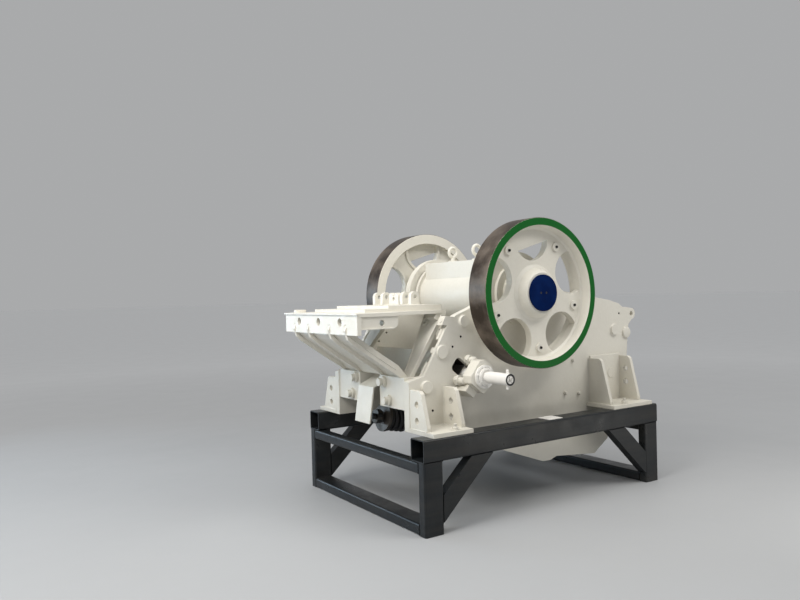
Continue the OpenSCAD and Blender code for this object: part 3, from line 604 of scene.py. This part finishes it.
# Nuts and domed ends on the yokes' studs
STUD_NUT_Y, STUD_END_Y = SIDE_OUT + 14, 590
stud_nut = prism(hexagon(0.041), 0, 0.026, 0.004)
dome = lathe([(0.0262, 0.0), (0.0262, 0.020), (0.023, 0.026), (0.014, 0.0295), (0.0, 0.0305)], 28)
shapes = []
for u, n in ((-64, 86), (40, 82), (-62, -88), (52, -84)):
    shapes.append(put(stud_nut, on_wedge(u, n, STUD_NUT_Y), OUTWARD, u))
    shapes.append(put(dome, on_wedge(u, n, STUD_END_Y), OUTWARD))
piece("adjuster_nuts", mirrored(shapes), CREAM)

# Rings (radius, y, height) and screws on the cylinders, and the nipples near their ends
FLANGE_Y, SCREW_AT = 721, 67
NIPPLE_Y = -949
shapes = []
for r, y, h in ((74, FLANGE_Y, 3), (52, 735, 4), (36, 767, 3)):
    ring = [((r + 3) * MM, 0.0), ((r + 3) * MM, h * MM * 0.6), ((r + 2) * MM, h * MM),
            ((r - 6) * MM, h * MM), ((r - 8) * MM, 0.0)]
    shapes.append(put(lathe(ring, 56), on_wedge(0, 0, y), OUTWARD))
for k in range(6):
    a = math.pi / 3 * k + 0.4
    place = on_wedge(SCREW_AT * math.cos(a), SCREW_AT * math.sin(a), FLANGE_Y)
    shapes += put_all(bolt(0.0055, False), place, OUTWARD, k)
collar = prism(hexagon(0.0125), 0, 0.010, 0.0015)
nipple = lathe([(0.0098, 0.0), (0.0104, 0.003), (0.0104, 0.011), (0.0085, 0.0145), (0.0, 0.0155)], 24)
for side in (-1, 1):
    axis = (0, 0, side)
    shapes.append(put(collar, at(WEDGE_X, NIPPLE_Y, WEDGE_Z + side * 41), axis))
    shapes.append(put(nipple, at(WEDGE_X, NIPPLE_Y, WEDGE_Z + side * 52), axis))
piece("cylinder_trim", mirrored(shapes), WHITE)

# A seal and a small screwed plate in each cylinder's end
SEAL_Y, END_PLATE_Y, END_SCREW_Y = -974.8, -971, -974
END_SCREW_AT = 18
seal = [(0.0400, 0.0), (0.0400, 0.0020), (0.0385, 0.0034),
        (0.0305, 0.0034), (0.0290, 0.0020), (0.0290, -0.0036)]
shapes = [put(lathe(seal, 56), at(WEDGE_X, SEAL_Y, WEDGE_Z), OUTWARD)]
piece("cylinder_seals", mirrored(shapes), BLACK)
plate = lathe([(0.026, 0.0), (0.026, 0.0018), (0.024, 0.003), (0.0, 0.003)], 40)
shapes = [put(plate, at(WEDGE_X, END_PLATE_Y, WEDGE_Z), OUTWARD)]
shapes += put_all(bolt(0.0052), at(WEDGE_X, END_SCREW_Y, WEDGE_Z), OUTWARD)
for k in range(4):
    a = math.pi / 2 * k + 0.5
    place = at(WEDGE_X + END_SCREW_AT * math.cos(a), END_SCREW_Y, WEDGE_Z + END_SCREW_AT * math.sin(a))
    shapes += put_all(bolt(0.0024, False), place, OUTWARD)
piece("cylinder_end_plates", mirrored(shapes), BRIGHT)

# The tension rod's coil spring, its rear nut and the thread behind it
ROD_TAIL, ROD_HEAD = at(20, 0, 45), at(1090, 0, -150)
along = (ROD_HEAD - ROD_TAIL).normalized()
level = Vector((0, 1, 0))
across = along.cross(level)
SPRING_START, SPRING_END = 0.114, 0.293
SPRING_R, WIRE_R = 0.102, 0.0165
TURNS, STEPS = 4.6, 40
CLOSED_TURNS = 0.6
start, end = SPRING_START + WIRE_R, SPRING_END - WIRE_R
path = []
for i in range(int(TURNS * STEPS) + 1):
    t = i / (TURNS * STEPS)
    a = 2 * math.pi * TURNS * t
    climb = min(1.0, max(0.0, (t * TURNS - CLOSED_TURNS) / (TURNS - 2 * CLOSED_TURNS)))
    path.append(ROD_TAIL + along * (start + (end - start) * climb)
                + (level * math.cos(a) + across * math.sin(a)) * (SPRING_R - WIRE_R))
shapes = [tube(path, WIRE_R, 14)]
FOLDS = 9
profile = [(0.022, 0.010)]
for i in range(FOLDS):
    h = 0.012 + i * (0.155 / FOLDS)
    profile += [(0.058, h), (0.066, h + 0.006), (0.066, h + 0.010), (0.058, h + 0.0165)]
profile.append((0.022, 0.170))
shapes.append(put(lathe(profile, 40), ROD_TAIL + along * SPRING_START, along))
piece("coil_spring", shapes, BLACK, replaced="tension_spring")
thread = [(0.0, -0.003)]
for i in range(9):
    thread += [(0.0205, -0.002 + i * 0.003), (0.0222, -0.0005 + i * 0.003)]
thread.append((0.020, 0.026))
shapes = [put(lathe(thread, 28), ROD_TAIL, along)]
shapes.append(put(prism(hexagon(0.056), 0.029, 0.067, 0.006), ROD_TAIL, along, 0.2))
piece("rod_nut", shapes, BLACK)

# A ring, a block and a rimmed hole on each of the table's legs
LEAN = math.atan(0.676)
out = (-math.cos(LEAN), 0, math.sin(LEAN))
ring = [(0.036, 0.0), (0.036, 0.007), (0.034, 0.009), (0.021, 0.009), (0.018, 0.006), (0.018, 0.0)]
shapes = [put(lathe(ring, 44), at(326.7, -285.5, 734.4), out)]
block = [(-0.033, -0.050), (0.033, -0.050), (0.033, 0.050), (-0.033, 0.050)]
shapes.append(put(prism(block, -0.002, 0.038, 0.005), at(351, -374, 770), out))
ring = [(0.020, 0.0), (0.020, 0.004), (0.0185, 0.006), (0.011, 0.006), (0.009, 0.004), (0.0, 0.004)]
shapes.append(put(lathe(ring, 36), at(308, -497, 748), (-0.877, 0, 0.48)))
piece("leg_rings", mirrored(shapes), CREAM)

# Dark linings in the wedges' slots, partly greased steel and partly painted shade of the deep slots: an
# outer and an inner wall, each with its floor
SLOT_CORNER_R = 29.2
SLOT_MIDDLE = -40
LINING_MOUTH, LINING_BACK, LINING_FLOOR = SIDE_IN + 24, 399, 402
SLOT = []
for u, n, a0 in ((45, 23, 0), (-125, 23, 90), (-125, -23, 180), (45, -23, 270)):
    for k in range(7):
        a = math.radians(a0 + 15 * k)
        SLOT.append((u + SLOT_CORNER_R * math.cos(a), n + SLOT_CORNER_R * math.sin(a)))
INNER = [(SLOT_MIDDLE + (u - SLOT_MIDDLE) * 0.975, n * 0.955) for u, n in SLOT]
count = len(SLOT)
verts = [on_wedge(u, n, y) for y in (LINING_MOUTH, LINING_BACK) for u, n in SLOT]
verts += [on_wedge(u, n, y) for y in (LINING_MOUTH, LINING_FLOOR) for u, n in INNER]
faces = []
for i in range(count):
    k = (i + 1) % count
    faces += [(i, k, count + k, count + i),
              (2 * count + k, 2 * count + i, 3 * count + i, 3 * count + k),
              (k, i, 2 * count + i, 2 * count + k)]
faces += [tuple(range(count, 2 * count)), tuple(range(4 * count - 1, 3 * count - 1, -1))]
piece("slot_grease_and_shade", mirrored([(verts, faces)]), DARK)

# Weld beads on the frame: the feet's gussets (x, top, reach) and plates, beam, legs, pads, ribs and skirts
GUSSET_T = 30
lines = []
for x0, top, reach in ((4, 290, 728), (291, 290, 728), (1760, 386, 748), (2125, 386, 722)):
    for x in (x0, x0 + GUSSET_T):
        lines.append([(x, -SIDE_OUT, 30), (x, -SIDE_OUT, top - 2)])
        lines.append([(x, -SIDE_OUT - 4, FOOT_T), (x, -reach + 4, FOOT_T)])
for x0, x1 in ((0, 327), (1735, 2190)):
    lines.append([(x0 + 3, -SIDE_OUT, FOOT_T), (x1 - 3, -SIDE_OUT, FOOT_T)])
lines.append([(75, -428, 362), (75, -352, 362)])
lines.append([(77, -430.5, 364), (364, -430.5, 790)])
lines.append([(77, -350.5, 364), (364, -227, 790)])
for y in (-269, -156, -120, -233):
    lines.append([(213, y, 862), (287, y, 862)])
for y in (-175.5, -150.5, -407.5, -382.5):
    lines.append([(-374, y, 656), (-342, y, 631), (-259, y, 577), (-132, y, 492), (-19, y, 420)])
lines.append([(-371, -550, 711), (-371, -550, 790)])
lines.append([(8, -464, 142), (8, -464, 360), (300, -464, 362)])
piece("frame_welds", mirrored(beads(lines, 0.0048, 1.7)), CREAM)

# Weld beads on the stand, where its posts, rails and cross tubes meet
STAND_OUT_Y = -817.5
POST_IN_Y = STAND_OUT_Y + 75
lines = []
for x0, x1, inner in ((-90, 60, 60), (2087, 2237, 2087)):
    lines.append([(x0 + 8, POST_IN_Y, -150), (x1 - 8, POST_IN_Y, -150)])
    lines.append([(x0 + 10, POST_IN_Y, -549), (x1 - 10, POST_IN_Y, -549)])
    lines.append([(inner, STAND_OUT_Y + 6, -150), (inner, STAND_OUT_Y + 72, -150)])
    lines.append([(inner, STAND_OUT_Y + 6, -546), (inner, STAND_OUT_Y + 70, -546)])
for low_z, high_z in ((-620, -552), (-222, -152)):
    lines.append([(-88, POST_IN_Y, low_z), (-88, POST_IN_Y, high_z)])
piece("stand_welds", mirrored(beads(lines, 0.0045, 2.3)), STAND)

# Floor, far larger than the view
REACH = 300
corners = [(-REACH, -REACH, 0), (REACH, -REACH, 0), (REACH, REACH, 0), (-REACH, REACH, 0)]
floor_mesh = bpy.data.meshes.new("floor")
floor_mesh.from_pydata(corners, [], [(0, 1, 2, 3)])
floor = bpy.data.objects.new("floor", floor_mesh)
bpy.context.scene.collection.objects.link(floor)
m = Mat("floor_paint", (0.38, 0.385, 0.39), 0.5, specular=0.2)
m.vary(0.8, 0.2, (0.35, 0.355, 0.36))
# Further out the floor is paler and runs into the backdrop
x, y, z = m.axes()
distance = m.math("SQRT", m.math("ADD", m.math("MULTIPLY", x, x), m.math("MULTIPLY", y, y)))
m.mix(m.ramp(distance, 3.5, 12.0), (0.566, 0.571, 0.576))
m.rough(2.0, 0.48, 0.6)
floor_mesh.materials.append(m.done())
